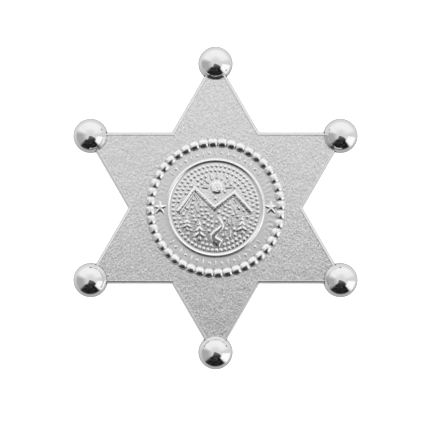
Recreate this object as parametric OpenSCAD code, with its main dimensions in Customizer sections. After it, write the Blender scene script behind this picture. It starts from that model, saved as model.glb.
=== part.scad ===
// Six-pointed star badge with ball tips, a ring of beads and a round medallion, lying face up.
// Z = 0 is the surface that the six balls rest on, and one point of the star is along +Y.

/* [Star plate] */
// Distance from the centre to the line of each long edge of the star
edge_dist = 16.4; // [15:0.1:19]
// Thickness of the plate under its stippled field
plate_t = 1.8; // [1.5:0.1:2.2]
// Width of the raised rim along every edge
rim_w = 0.95; // [0.7:0.05:1.4]
// Height of the raised rim above the field
rim_h = 0.4; // [0.2:0.05:0.7]
// How far the outer side leans in from the back to the crest of the rim
edge_draft = 0.25; // [0.1:0.05:0.3]
// Width of the slope from the crest of the rim down to the field
rim_slope = 0.35; // [0.2:0.05:0.4]

/* [Ball tips] */
// Diameter of each ball
ball_d = 7.5; // [7:0.1:9]
// How far each point of the star reaches past the centre of its ball
tip_reach = 1.55; // [0.8:0.05:2]

/* [Bead ring] */
// Diameter of each bead
bead_d = 2.15; // [1.6:0.05:2.6]
// Distance from the middle of one bead to the next, along the ring
bead_pitch = 2; // [1.5:0.05:2.6]
// Height of the beads above the field
bead_rise = 0.85; // [0.5:0.05:1]
// Angle of the first bead from the +X axis
bead_turn = 2.3; // [0:0.1:8]
// Width of the ring under the beads
bead_foot_w = 1.3; // [0.8:0.05:1.5]
// Height of the ring between the beads above the field
bead_web = 0.15; // [0.1:0.05:0.4]

/* [Medallion] */
// Outer radius of the round rim that frames the dotted ground
round_rim_r = 10.95; // [9:0.05:12]
// Width of the round rim
round_rim_w = 1.3; // [0.8:0.05:1.6]
// Height of the round rim above the dotted ground
round_rim_h = 0.45; // [0.25:0.05:0.5]
// Width of the plain band between the round rim and the beads
band_w = 2.1; // [1.6:0.1:2.8]
// Depth of the seat in the star that holds the medallion and the bead ring
seat_depth = 0.75; // [0.6:0.05:1]
// Radius of the two five-pointed stars on the band, at their points
small_star_r = 1.5; // [0.9:0.05:1.6]
// Height of the middle of each five-pointed star above the band
small_star_h = 0.45; // [0.2:0.05:0.8]
// Length of the short bars on the band
bar_len = 1.2; // [0.6:0.1:1.6]
// Width of the short bars on the band
bar_w = 0.22; // [0.15:0.01:0.4]
// Height of the short bars above the band
bar_h = 0.12; // [0.08:0.01:0.3]
// Diameter of the dots
dot_d = 0.65; // [0.45:0.05:0.8]
// Height of the dots
dot_h = 0.22; // [0.12:0.02:0.3]
// Distance from dot to dot along a ring of dots
dot_step = 0.945; // [0.85:0.005:1.5]
// Distance from one ring of dots to the next
dot_ring_step = 1.01; // [0.9:0.01:1.6]
// Distance from the round rim to the middle of the first ring of dots
dot_edge = 0.49; // [0.45:0.01:0.8]
// Height of the raised picture above the dotted ground
relief_h = 0.38; // [0.2:0.02:0.6]
// Width of the bands that draw the mountains
ridge_w = 1.0; // [0.6:0.05:1.3]
// Width of the fine lines of the picture
line_w = 0.34; // [0.2:0.02:0.5]
// Space left free between the picture and the nearest dots
relief_gap = 0.1; // [0.05:0.01:0.3]

/* [Pin at the back] */
// Length of the bar that carries the pin
pin_bar_len = 28; // [20:1:32]
// Width of the bar that carries the pin
pin_bar_w = 4.6; // [3:0.1:7]
// Thickness of the bar that carries the pin
pin_bar_t = 0.5; // [0.4:0.05:0.7]
// How far the pin lies above the middle of the star
pin_up = 3; // [0:0.5:6]
// Diameter of the pin wire
wire_d = 0.9; // [0.6:0.05:1]
// Diameter of the knuckle that holds the pin wire
knuckle_d = 1.8; // [1.4:0.05:1.9]
// Length of the knuckle
knuckle_len = 3.2; // [2:0.1:4.5]
// Distance from each end of the bar to the knuckle and to the catch
pin_inset = 1.6; // [1:0.1:3]
// Wall of the catch round the tip of the pin
catch_wall = 0.3; // [0.25:0.05:0.4]
// Length of the catch along the pin
catch_len = 2.2; // [1.5:0.1:4]
// Length of the sharpened end of the pin
wire_point = 3; // [1.5:0.1:5]
// Space between the lowest point of the pin and the surface below
floor_clear = 0.3; // [0.1:0.05:0.4]

/* [Fits] */
// Clearance on every side between pieces that are seated in each other
fit_gap = 0.05; // [0.02:0.01:0.1]
// Clearance round the tip of the pin in its catch
catch_gap = 0.1; // [0.05:0.01:0.15]

/* [Hidden] */
$fn = 72;
small_fn = 32;
points = 6;
// How far each cutting shape runs past the face that it cuts
cut_over = 1;

field_silver = [0.76, 0.76, 0.77];
bright_silver = [0.86, 0.86, 0.87];
pin_steel = [0.70, 0.71, 0.73];

// The plate's middle lies at the height of the ball centres
ball_z = ball_d / 2;
plate_z = ball_z - plate_t / 2;
field_z = plate_z + plate_t;
crest_z = field_z + rim_h;
star_reach = 2 * edge_dist;
ball_r = star_reach - tip_reach;

// The medallion lies inside the foot of the bead ring, and both lie in one round seat of the star
bead_ring_r = round_rim_r + band_w + bead_d / 2;
bead_count = floor(2 * PI * bead_ring_r / bead_pitch);
bead_z = field_z + bead_rise - bead_d / 2;
seat_z = field_z - seat_depth;
disc_z = seat_z + fit_gap;
disc_t = field_z - disc_z;
seat_r = bead_ring_r + bead_foot_w / 2 + fit_gap;
medallion_r = bead_ring_r - bead_foot_w / 2 - fit_gap;
ground_r = round_rim_r - round_rim_w;
band_r = round_rim_r + band_w / 2;
relief_root = disc_t / 2;

// Angles of the short bars on the upper and lower part of the band, from the middle of each
bar_angles = [-52, -39, -26, -13, 0, 13, 26, 39, 52];

// The picture's places are shares of the ground's radius, x to the right and y upwards
mountain_line = [[-0.84, -0.10], [-0.46, 0.44], [-0.02, 0.00], [0.42, 0.34], [0.82, -0.10]];
left_crease = [[-0.46, 0.30], [-0.37, 0.15], [-0.45, 0.04], [-0.39, -0.10]];
right_crease = [[0.42, 0.20], [0.50, 0.08], [0.43, -0.02], [0.48, -0.14]];
sun_place = [0.03, 0.46];
sun_share = 0.145;
ray_angles = [0, 30, 60, 90, 120, 150, 180];
ray_from = 0.20;
ray_to = 0.34;
ray_half_w = 0.026;
// The river winds and widens from the foot of the mountains to the near bank
river_top = [0.07, -0.19];
river_fall = 0.61;
river_swing = [0.05, 0.10];
river_turn = [-20, 400];
river_share = [0.06, 0.12];
river_steps = 14;
// Columns: x and y of the foot, height and half width
pines = [[-0.64, -0.50, 0.36, 0.13], [-0.36, -0.72, 0.46, 0.15], [0.60, -0.58, 0.42, 0.14]];
pine_trunk = 0.16;
pine_tiers = 3;
pine_notch = 0.5;
pine_slope = 0.85;
// Grass beside the river, each blade from its foot to its tip
grass_blades = [[[0.31, -0.38], [0.28, -0.26]], [[0.39, -0.38], [0.39, -0.23]],
    [[0.24, -0.64], [0.22, -0.53]], [[0.32, -0.66], [0.34, -0.52]]];

// Small helpers for outlines in the plane
function unit(v) = v / norm(v);
function left_of(v) = [-v[1], v[0]];
function bearing(path, i) = unit(path[i + 1] - path[i]);

// A point of the path moved sideways, so that both neighbouring stretches keep their width
function side_point(path, i, off) =
    let (before = left_of(bearing(path, max(i - 1, 0))),
        after = left_of(bearing(path, min(i, len(path) - 2))),
        middle = unit(before + after))
    path[i] + middle * off / (middle * before);

// Outline of a band along a path, with a width at each point
function band_outline(path, widths) = concat(
    [for (i = [0:len(path) - 1]) side_point(path, i, widths[i] / 2)],
    [for (i = [len(path) - 1:-1:0]) side_point(path, i, -widths[i] / 2)]);

function even_band(shares, w) =
    let (path = shares * ground_r) band_outline(path, [for (p = path) w]);

function at_share(range, t) = range[0] + range[1] * t;
function river_point(t) = (river_top
    + [at_share(river_swing, t) * sin(at_share(river_turn, t)), -river_fall * t]) * ground_r;
function river_outline() =
    let (steps = [for (i = [0:river_steps]) i / river_steps])
    band_outline([for (t = steps) river_point(t)],
        [for (t = steps) at_share(river_share, t) * ground_r]);

// A sun ray is a thin triangle that points away from the sun
function ray_outline(a) =
    let (out = [cos(a), sin(a)],
        side = left_of(out) * ray_half_w,
        root = sun_place + out * ray_from)
    [root - side, sun_place + out * ray_to, root + side] * ground_r;

// One side of a pine's crown from its foot to its top, side = 1 for the right: a tier narrows as it
// rises, and the next one starts wider again
function pine_side(tree, side) =
    let (crown_y = tree[1] + tree[2] * pine_trunk, crown_h = tree[2] * (1 - pine_trunk))
    [for (i = [0:pine_tiers - 1], outer = [1, 0])
        let (reach = tree[3] * (1 - i / pine_tiers),
            inner = tree[3] * (1 - (i + 1) / pine_tiers) * pine_notch,
            y = crown_y + crown_h * (outer == 1 ? i : i + pine_slope) / pine_tiers)
        if (outer == 1 || i < pine_tiers - 1) [tree[0] + side * (outer == 1 ? reach : inner), y]];

function reversed(list) = [for (i = [len(list) - 1:-1:0]) list[i]];

function pine_outline(tree) =
    let (trunk = tree[3] * pine_notch / 2,
        crown_y = tree[1] + tree[2] * pine_trunk)
    concat(
        [[tree[0] - trunk, tree[1]], [tree[0] + trunk, tree[1]], [tree[0] + trunk, crown_y]],
        pine_side(tree, 1),
        [[tree[0], tree[1] + tree[2]]],
        reversed(pine_side(tree, -1)),
        [[tree[0] - trunk, crown_y]]) * ground_r;

picture = concat(
    [even_band(mountain_line, ridge_w), even_band(left_crease, line_w),
        even_band(right_crease, line_w), river_outline()],
    [for (a = ray_angles) ray_outline(a)],
    [for (tree = pines) pine_outline(tree)],
    [for (blade = grass_blades) even_band(blade, line_w)]);

// Distance from a point to a closed outline, and whether the point is inside it
function side_distance(p, a, b) =
    let (d = b - a, t = max(0, min(1, ((p - a) * d) / (d * d)))) norm(p - a - t * d);
function outline_distance(p, o) = min([for (i = [0:len(o) - 1])
    side_distance(p, o[i], o[(i + 1) % len(o)])]);
function crosses(p, a, b) =
    (a[1] > p[1]) != (b[1] > p[1]) && p[0] < a[0] + (b[0] - a[0]) * (p[1] - a[1]) / (b[1] - a[1]);
function is_inside(p, o) =
    len([for (i = [0:len(o) - 1]) if (crosses(p, o[i], o[(i + 1) % len(o)])) i]) % 2 == 1;

// Dots stand in rings round the middle, and only where the picture leaves them room
dot_room = dot_d / 2 + relief_gap;
function is_free(p) =
    norm(p - sun_place * ground_r) > sun_share * ground_r + dot_room
    && len([for (o = picture) if (is_inside(p, o) || outline_distance(p, o) < dot_room) 1]) == 0;
dot_rings = floor((ground_r - dot_edge) / dot_ring_step);
dots = [for (ring = [0:dot_rings])
    let (r = ground_r - dot_edge - ring * dot_ring_step, count = max(1, round(2 * PI * r / dot_step)))
    for (k = [0:count - 1])
        let (a = 360 * (k + ring % 2 / 2) / count, p = [r * cos(a), r * sin(a)])
        if (is_free(p)) p];

// Radius of the ball of which a cap of this width and height is cut
function cap_radius(width, height) = (width * width / 4 + height * height) / (2 * height);

// Three leaning sides round a slab: each side is d_low from the centre at z_low and d_high at z_high
module leaning_triangle(d_low, d_high, z_low, z_high, turn) {
    reach = star_reach + cut_over;
    tilt = atan((d_low - d_high) / (z_high - z_low));
    difference() {
        translate([-reach, -reach, z_low])
            cube([2 * reach, 2 * reach, z_high - z_low]);
        for (k = [0:2])
            rotate([0, 0, turn + 120 * k])
                translate([d_low, 0, z_low])
                    rotate([0, -tilt, 0])
                        translate([0, -2 * reach, -reach])
                            cube([3 * reach, 4 * reach, 2 * reach]);
    }
}

// Two triangles turned against each other make the six-pointed star
module leaning_star(d_low, d_high, z_low, z_high) {
    for (turn = [30, 90])
        leaning_triangle(d_low, d_high, z_low, z_high, turn);
}

module star_recess() {
    depth = rim_h + cut_over;
    foot = edge_dist - rim_w;
    leaning_star(foot, foot + rim_slope * depth / rim_h, field_z, field_z + depth);
}

module star_plate() {
    color(field_silver)
        difference() {
            leaning_star(edge_dist, edge_dist - edge_draft, plate_z, crest_z);
            star_recess();
            translate([0, 0, seat_z])
                cylinder(r = seat_r, h = seat_depth + cut_over);
        }
}

// The slot in a ball follows the point of the star, with the fit all round
module tip_slot() {
    tip = tip_reach + fit_gap / sin(30);
    back = ball_d;
    half = (tip + back) * tan(30);
    translate([0, 0, plate_z - fit_gap])
        linear_extrude(crest_z - plate_z + 2 * fit_gap)
            polygon([[tip, 0], [-back, half], [-back, -half]]);
}

module ball_tip(place) {
    color(bright_silver)
        rotate([0, 0, 90 - (place - 1) * 360 / points])
            translate([ball_r, 0, 0])
                difference() {
                    translate([0, 0, ball_z])
                        sphere(d = ball_d);
                    tip_slot();
                }
}

function bead_angle(k) = bead_turn + 360 * k / bead_count;

// A bead at its place on the ring, or the room that it takes, wider by grow all round
module bead(k, grow) {
    rotate([0, 0, bead_angle(k)])
        translate([bead_ring_r, 0, bead_z])
            sphere(r = bead_d / 2 + grow, $fn = small_fn);
}

// The beads are flat under their overhang, and stand on a narrow ring that fills the seat's edge
module bead_ring() {
    flat_z = field_z + fit_gap;
    color(bright_silver) {
        difference() {
            for (k = [0:bead_count - 1])
                bead(k, 0);
            translate([0, 0, flat_z - bead_d])
                cylinder(r = bead_ring_r + bead_d, h = bead_d);
        }
        translate([0, 0, disc_z])
            difference() {
                cylinder(r = bead_ring_r + bead_foot_w / 2, h = disc_t + bead_web);
                translate([0, 0, -cut_over])
                    cylinder(r = bead_ring_r - bead_foot_w / 2, h = disc_t + bead_web + 2 * cut_over);
            }
    }
}

// The round rim's section is a flat foot with a round top
module round_rim() {
    r = cap_radius(round_rim_w, round_rim_h);
    rotate_extrude()
        translate([round_rim_r - round_rim_w / 2, 0])
            intersection() {
                translate([0, round_rim_h - r])
                    circle(r = r, $fn = small_fn);
                translate([-round_rim_w / 2, -relief_root])
                    square([round_rim_w, relief_root + round_rim_h]);
            }
}

// A five-pointed star that rises to a point in its middle
module small_star() {
    inner = small_star_r * sin(18) / sin(54);
    outline = [for (k = [0:9]) (k % 2 == 0 ? small_star_r : inner) * [sin(36 * k), cos(36 * k)]];
    lip = small_star_h / 8;
    corners = concat([for (p = outline) [p[0], p[1], -relief_root]], [for (p = outline) [p[0], p[1], lip]],
        [[0, 0, small_star_h]]);
    sides = [for (k = [0:9]) [k, (k + 1) % 10, (k + 1) % 10 + 10, k + 10]];
    slopes = [for (k = [0:9]) [k + 10, (k + 1) % 10 + 10, 20]];
    polyhedron(corners, concat([[for (k = [9:-1:0]) k]], sides, slopes));
}

// The two stars of the band leave room for the nearest beads
module small_stars() {
    difference() {
        intersection() {
            for (side = [-1, 1])
                translate([side * band_r, 0, field_z])
                    small_star();
            translate([0, 0, disc_z])
                cylinder(r = medallion_r, h = disc_t + 2 * small_star_h);
        }
        for (k = [0:bead_count - 1])
            if (abs(sin(bead_angle(k))) < sin(360 / bead_count))
                bead(k, fit_gap);
    }
}

module band_bar() {
    translate([band_r - bar_len / 2, -bar_w / 2, field_z - relief_root])
        cube([bar_len, bar_w, relief_root + bar_h]);
}

module dot() {
    r = cap_radius(dot_d, dot_h);
    translate([0, 0, dot_h - r])
        sphere(r = r, $fn = small_fn);
}

module sun() {
    r = cap_radius(2 * sun_share * ground_r, relief_h);
    translate([0, 0, relief_h - r])
        intersection() {
            sphere(r = r);
            translate([-r, -r, r - relief_h - relief_root])
                cube([2 * r, 2 * r, 2 * r]);
        }
}

module medallion() {
    color(field_silver) {
        translate([0, 0, disc_z])
            cylinder(r = medallion_r, h = disc_t);
        small_stars();
        for (middle = [90, 270], a = bar_angles)
            rotate([0, 0, middle + a])
                band_bar();
        translate([0, 0, field_z]) {
            round_rim();
            for (p = dots)
                translate(p)
                    dot();
            translate(sun_place * ground_r)
                sun();
            for (outline = picture)
                translate([0, 0, -relief_root])
                    linear_extrude(relief_root + relief_h)
                        polygon(outline);
        }
    }
}

// Heights and lengths of the pin, from the plate's back down to the surface below
pin_bar_z = plate_z - fit_gap - pin_bar_t;
wire_z = floor_clear + knuckle_d / 2;
knuckle_x = -pin_bar_len / 2 + pin_inset;
catch_x = pin_bar_len / 2 - pin_inset;
catch_r = wire_d / 2 + catch_gap + catch_wall;
post_share = 0.8;

module pin_bar() {
    corner = pin_bar_w / 4;
    x = pin_bar_len / 2;
    y = pin_bar_w / 2;
    translate([0, 0, pin_bar_z])
        linear_extrude(pin_bar_t)
            polygon([[-x, corner - y], [corner - x, -y], [x - corner, -y], [x, corner - y],
                [x, y - corner], [x - corner, y], [corner - x, y], [-x, y - corner]]);
}

// A post joins the knuckle or the catch to the bar, and is a little smaller than what it carries
module pin_post(x, length, width) {
    translate([x - length / 2, -width / 2, wire_z])
        cube([length, width, pin_bar_z + pin_bar_t / 2 - wire_z]);
}

module pin_knuckle() {
    translate([knuckle_x, knuckle_len / 2, wire_z])
        rotate([90, 0, 0])
            cylinder(d = knuckle_d, h = knuckle_len);
    pin_post(knuckle_x, knuckle_d * post_share, knuckle_len * post_share);
}

module pin_wire() {
    shaft = catch_x - knuckle_x - wire_point + catch_len / 4;
    translate([knuckle_x, 0, wire_z])
        rotate([0, 90, 0]) {
            cylinder(d = wire_d, h = shaft);
            translate([0, 0, shaft])
                cylinder(d1 = wire_d, d2 = wire_d / 4, h = wire_point);
        }
}

// The catch is a short tube, open on one side, that the tip of the pin rests in
module pin_catch() {
    difference() {
        union() {
            translate([catch_x - catch_len / 2, 0, wire_z])
                rotate([0, 90, 0])
                    cylinder(r = catch_r, h = catch_len);
            pin_post(catch_x, catch_len * post_share, catch_r);
        }
        translate([catch_x - catch_len, 0, wire_z])
            rotate([0, 90, 0])
                cylinder(r = catch_r - catch_wall, h = 2 * catch_len);
        translate([catch_x - catch_len, 0, wire_z - wire_d / 2])
            cube([2 * catch_len, 2 * catch_r, wire_d]);
    }
}

module pin_back() {
    color(pin_steel)
        translate([0, pin_up, 0]) {
            pin_bar();
            pin_knuckle();
            pin_wire();
            pin_catch();
        }
}

star_plate();
for (place = [1:points])
    ball_tip(place);
bead_ring();
medallion();
pin_back();
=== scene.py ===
"""Looks of a six-pointed star badge with ball tips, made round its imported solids.

Lengths are in millimetres and angles in degrees until a mesh or a node takes them. +Z points out of
the badge's face and +Y to its top point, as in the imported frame.
"""

import math

import bmesh
import bpy
import numpy as np
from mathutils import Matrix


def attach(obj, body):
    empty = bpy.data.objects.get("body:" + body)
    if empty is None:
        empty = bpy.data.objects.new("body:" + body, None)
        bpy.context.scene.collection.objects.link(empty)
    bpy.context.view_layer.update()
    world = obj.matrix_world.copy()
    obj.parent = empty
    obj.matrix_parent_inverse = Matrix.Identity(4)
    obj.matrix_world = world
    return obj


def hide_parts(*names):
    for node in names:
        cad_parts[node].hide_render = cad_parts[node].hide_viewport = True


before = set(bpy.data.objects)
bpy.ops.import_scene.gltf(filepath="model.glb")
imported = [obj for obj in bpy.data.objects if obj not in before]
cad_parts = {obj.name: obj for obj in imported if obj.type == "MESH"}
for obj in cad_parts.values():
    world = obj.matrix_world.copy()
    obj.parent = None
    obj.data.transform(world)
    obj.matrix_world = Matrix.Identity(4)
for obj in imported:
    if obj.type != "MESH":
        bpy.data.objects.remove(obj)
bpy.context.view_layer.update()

MM = 0.001

# Star plate
EDGE_DIST = 16.4
PLATE_Z = 2.85
FIELD_Z = 4.65
CREST_Z = 5.05
BACK_DISTS = (0, 5, 10, 14, 16)
SIDE_EDGE = 0.08
SIDE_Z = 3.85
BEVEL_W = 0.36
BEVEL_H = 0.60
SHOULDER_Z = 5.00
SHOULDER_R = 0.05
RIM_CREST_W = 0.60
FLANK_W = 0.12
FLANK_SHARES = (0.12, 0.3, 0.5, 0.7, 0.88, 1.0)
FIELD_START = 0.04
EDGE_STEPS = 68
FIELD_ROWS = 88
GRAIN_H = 0.0030
GRAIN_SIZE = 0.62
GRAIN_STRETCH = (1.3, 0.7)
SWELL_H = 0.0032
SWELL_SIZE = 3.2

# Ball tips
BALLS = 6
BALL_R = 3.75
BALL_CENTRE_R = 31.25
BALL_Z = 3.75
SLOT_TIP = 1.65
SLOT_LOW = -0.95
SLOT_HIGH = 1.35
SLOT_SIDE_STEPS = 14
SLOT_ARC_STEPS = 44
BALL_ROWS = 62

# Bead ring
BEADS = 44
BEAD_R = 1.075
BEAD_HALF_LEN = 1.16
BARREL = 2.7
BEAD_CROWN = 1.75
BEAD_TURN = 2.3
BEAD_RING_R = 14.125
BEAD_Z = 4.425
BEAD_FLAT_Z = 4.70
BEAD_STEPS = 26
BEAD_ROWS = 23
GAP_ALONG = (0.86, 1.02)
GAP_UP = (4.80, 4.98)
FOOT_HALF_W = 0.65
FOOT_TOP_Z = 4.80
SEAT_R = 14.825
SEAT_Z = 3.90
SEAT_EDGE = 0.05

# Medallion
DISC_R = 13.425
DISC_Z = 3.95
DISC_EDGE = 0.06
UNDER_R = 7.0
GROUND_R = 9.65
GROUND_CELLS = 240
GROUND_GRAIN_H = 0.003
GROUND_GRAIN_SIZE = 0.6
CROWN_H = 0.22
ROUND_RIM_W = 1.30
ROUND_RIM_H = 0.27
BAND_R = 12.0
BAND_GRAIN_H = 0.007
BAND_GRAIN_SIZE = 0.9
BAND_GRAIN_FROM = (10.95, 11.3)
BAND_GRAIN_TO = (13.0, 13.36)
DOT_D = 0.70
DOT_H = 0.30
DOT_STEP = 0.945
DOT_RING_STEP = 1.01
DOT_EDGE = 0.49
DOT_ROOM = DOT_D / 2 + 0.10
RELIEF_H = 0.38
RELIEF_OUT = 0.04
RELIEF_SIDE_W = 0.44
SUN_SIDE_W = 0.5
RIDGE_W = 1.0
LINE_W = 0.34
SMALL_STAR_R = 1.36
SMALL_STAR_BLUNT = 0.17
SMALL_STAR_SIDE_W = 0.28
SMALL_STAR_ROUND_W = 0.18
SMALL_STAR_SLOPE = 0.62
SMALL_STAR_TURNS = 80
SMALL_STAR_HALVINGS = 24
SMALL_STAR_ROOT_Z = -0.25
BAR_ANGLES = [-52, -39, -26, -13, 0, 13, 26, 39, 52]
BAR_LEN = 1.36
BAR_W = 0.34
BAR_H = 0.17
BAR_SUNK = 0.02
BAR_ROOT_Z = -0.15
STUD_D = 0.70

# The picture's places are shares of the ground's radius
MOUNTAIN_LINE = [[-0.84, -0.10], [-0.46, 0.44], [-0.02, 0.00], [0.42, 0.34], [0.82, -0.10]]
LEFT_CREASE = [[-0.46, 0.30], [-0.37, 0.15], [-0.45, 0.04], [-0.39, -0.10]]
RIGHT_CREASE = [[0.42, 0.20], [0.50, 0.08], [0.43, -0.02], [0.48, -0.14]]
SUN_PLACE = np.array([0.03, 0.46])
SUN_SHARE = 0.145
RAY_ANGLES = [0, 30, 60, 90, 120, 150, 180]
RAY_FROM = 0.20
RAY_TO = 0.34
RAY_HALF_W = 0.026
RIVER_TOP = [0.07, -0.19]
RIVER_FALL = 0.61
RIVER_SWING = (0.05, 0.10)
RIVER_TURN = (-20, 400)
RIVER_W = (0.06, 0.12)
RIVER_STEPS = 14
PINES = [[-0.64, -0.50, 0.36, 0.13], [-0.36, -0.72, 0.46, 0.15], [0.60, -0.58, 0.42, 0.14]]
PINE_TRUNK = 0.16
PINE_TIERS = 3
PINE_NOTCH = 0.5
PINE_SLOPE = 0.85
GRASS = [[[0.31, -0.38], [0.28, -0.26]], [[0.39, -0.38], [0.39, -0.23]],
         [[0.24, -0.64], [0.22, -0.53]], [[0.32, -0.66], [0.34, -0.52]]]

# Pin at the back
PIN_Y = 3.0
PIN_BAR_Z = 2.30
PIN_BAR_T = 0.5
PIN_BAR_HALF_LEN = 14.0
PIN_BAR_HALF_W = 2.3
PIN_BAR_EDGE = 0.12
PIN_BAR_SIDE_STEPS = 6
TURNED_SIDES = 40
POST_TOP_Z = PIN_BAR_Z + 0.2
WIRE_Z = 1.2
WIRE_R = 0.45
WIRE_POINT = 3.0
WIRE_POINT_SHARE = 0.78
WIRE_POINT_POWER = 1.3
KNUCKLE_X = -12.4
KNUCKLE_R = 0.9
KNUCKLE_HALF_LEN = 1.6
LOOP_R = KNUCKLE_R * 0.88
GROOVE_R = KNUCKLE_R * 0.62
CATCH_X = 12.4
CATCH_R = 0.85
CATCH_WALL = 0.3
CATCH_LEN = 2.2
CATCH_OPEN = 42

# Brightness of the studio's parts. A part with four angles fades in over the first two and out
# over the last two. DOWN is from straight up, and ROUND is the bearing.
SKY_TOP = 0.79
SKY_LEFT = 0.45
SKY_RIGHT = 0.76
SKY_BACK = 1.00
SKY_BACK_ROUND = (-84.0, -58.0, 62.0, 86.0)
SKY_PANEL = 1.03
SKY_PANEL_DOWN = (37.0, 60.0, 84.0, 103.0)
SKY_PANEL_ROUND = (-38.0, -10.0, 36.0, 58.0)
SKY_WINDOW = 1.15
SKY_WINDOW_DOWN = (44.0, 50.0, 106.0, 126.0)
SKY_WINDOW_ROUND = (91.0, 98.0, 127.0, 141.0)
GROUND_FRONT = 0.48
GROUND_BACK = 0.79
GROUND_BELOW = 0.42
STAND_DOWN = (26.0, 40.0, 98.0, 117.0)
STAND_ROUND = (-45.0, -36.0, 40.0, 56.0)
CLOTH_DARK = 0.008
CLOTH_LIGHT = 0.085

# The near end of the dark stand: its place, its edges to both sides, and its own brightness
STAND_Z = 430.0
STAND_NEAR_Y = 12.0
STAND_NEAR_FADE = 26.0
STAND_FAR = 330.0
STAND_NEAR_TONE = 0.155
STAND_FAR_TONE = 0.035
STAND_WIDER = 1.12
STAND_SIDE_FADE = 0.32
STAND_Y = [-16, 0, 22, 51, 87, 156, 173, 244, 330]
STAND_LEFT = [38, 52, 74, 96, 112, 136, 150, 200, 270]
STAND_RIGHT = [-11, 5, 60, 138, 205, 286, 300, 350, 400]

# Floor, lamp and camera
FLOOR_R = 1500.0
FLOOR_SIDES = 96
CAMERA_PLACE = (-0.11, -1.52, 400.0)
CAMERA_SENSOR = 36.0
CAMERA_FRAME_W = 93.2


def sin(angle):
    """Sine of an angle in degrees."""
    return np.sin(np.radians(angle))


def cos(angle):
    """Cosine of an angle in degrees."""
    return np.cos(np.radians(angle))


def smooth(value, low, high):
    """0 up to low and 1 from high, with an even S-shaped rise between them."""
    share = np.clip((value - low) / (high - low), 0, 1)
    return share * share * (3 - 2 * share)


def stack(x, y, z):
    """Points from three arrays that broadcast against each other."""
    return np.stack(np.broadcast_arrays(x, y, z), axis=-1)


def grain(x, y, wavelength, seed, waves=56):
    """Unevenness of a cast face: cosine waves of about one length that run in all directions, added
    up and scaled so that the sum spreads about 1 to each side of 0."""
    rng = np.random.default_rng(seed)
    total = np.zeros_like(x)
    for turn, stretch, phase in rng.uniform(0, 1, (waves, 3)):
        number = 2 * np.pi / (wavelength * (0.8 + 0.5 * stretch))
        along = x * cos(360 * turn) + y * sin(360 * turn)
        total += np.cos(number * along + 2 * np.pi * phase)
    return total * math.sqrt(2 / waves)


def fill_mesh(mesh, grids):
    """Fills a mesh from grids of points. Each grid is (points, wrap rows, wrap columns, marks), and
    quads join neighbours. Marks are named values of the points, which the finish reads."""
    corners, quads, marks, start = [], [], {}, 0
    for points, wrap_rows, wrap_columns, values in grids:
        rows, columns = points.shape[:2]
        index = start + np.arange(rows * columns).reshape(rows, columns)
        if wrap_rows:
            index = np.vstack([index, index[:1]])
        if wrap_columns:
            index = np.hstack([index, index[:, :1]])
        sides = [index[:-1, :-1], index[:-1, 1:], index[1:, 1:], index[1:, :-1]]
        quads.append(np.stack(sides, axis=-1).reshape(-1, 4))
        corners.append(points.reshape(-1, 3))
        for key, value in values.items():
            marks.setdefault(key, []).append(np.broadcast_to(value, (rows, columns)).reshape(-1))
        start += rows * columns
    mesh.from_pydata((np.vstack(corners) * MM).tolist(), [], np.vstack(quads).tolist())
    for key, values in marks.items():
        kept = mesh.attributes.new(key, "FLOAT", "POINT")
        kept.data.foreach_set("value", np.concatenate(values).astype(np.float32))


def make_piece(name, grids, node, finish, crease=40):
    """One closed piece from grids of points. Points that coincide are welded, so poles and seams
    close, all faces are turned outwards, and edges sharper than crease degrees stay sharp."""
    mesh = bpy.data.meshes.new(name)
    fill_mesh(mesh, grids)
    welded = bmesh.new()
    welded.from_mesh(mesh)
    bmesh.ops.remove_doubles(welded, verts=welded.verts, dist=1e-7)
    bmesh.ops.recalc_face_normals(welded, faces=welded.faces)
    welded.to_mesh(mesh)
    welded.free()
    mesh.shade_smooth()
    mesh.set_sharp_from_angle(angle=math.radians(crease))
    mesh.materials.append(finish)
    piece = bpy.data.objects.new(name, mesh)
    bpy.context.scene.collection.objects.link(piece)
    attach(piece, "root")
    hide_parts(node)
    return piece


# Finishes

def add_node(tree, kind, inputs=None, out=0, **settings):
    """Adds a node, sets its options, sets or links its inputs, and gives one of its outputs."""
    made = tree.nodes.new(kind)
    for key, value in settings.items():
        setattr(made, key, value)
    for key, value in (inputs or {}).items():
        if isinstance(value, bpy.types.NodeSocket):
            tree.links.new(value, made.inputs[key])
        else:
            made.inputs[key].default_value = value
    return made.outputs[out]


def calc(tree, operation, *values):
    """One calculation with sockets and numbers."""
    return add_node(tree, "ShaderNodeMath", dict(enumerate(values)), operation=operation)


def ease(tree, value, low, high, start=0.0, end=1.0):
    """start up to low, end from high, with a smooth change between them."""
    return add_node(tree, "ShaderNodeMapRange",
                    {0: value, 1: low, 2: high, 3: start, 4: end}, interpolation_type="SMOOTHSTEP")


def between(tree, value, low_0, low_1, high_1, high_0):
    """1 from low_1 to high_1, and 0 below low_0 and above high_0."""
    rise = ease(tree, value, low_0, low_1)
    fall = ease(tree, value, high_1, high_0, 1.0, 0.0)
    return calc(tree, "MULTIPLY", rise, fall)


def mix(tree, share, first, second):
    """A number that goes from first to second as share goes from 0 to 1."""
    return add_node(tree, "ShaderNodeMix", {0: share, 2: first, 3: second}, data_type="FLOAT")


def blend(tree, share, first, second, way="MIX"):
    """A colour that goes from first to second, or to their product, as share goes from 0 to 1."""
    return add_node(tree, "ShaderNodeMix", {0: share, 6: first, 7: second}, out=2,
                    data_type="RGBA", blend_type=way)


def tint(tree, share, first, second):
    """A colour that goes from first to second, two fixed colours, as share goes from 0 to 1."""
    return blend(tree, share, (*first, 1), (*second, 1))


def noise(tree, place, size, detail=2.0, distortion=0.0, rough=0.5):
    """Cloudy pattern whose patches are about size millimetres across."""
    return add_node(tree, "ShaderNodeTexNoise",
                    {"Vector": place, "Scale": 1 / (size * MM), "Detail": detail,
                     "Roughness": rough, "Distortion": distortion})


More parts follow.
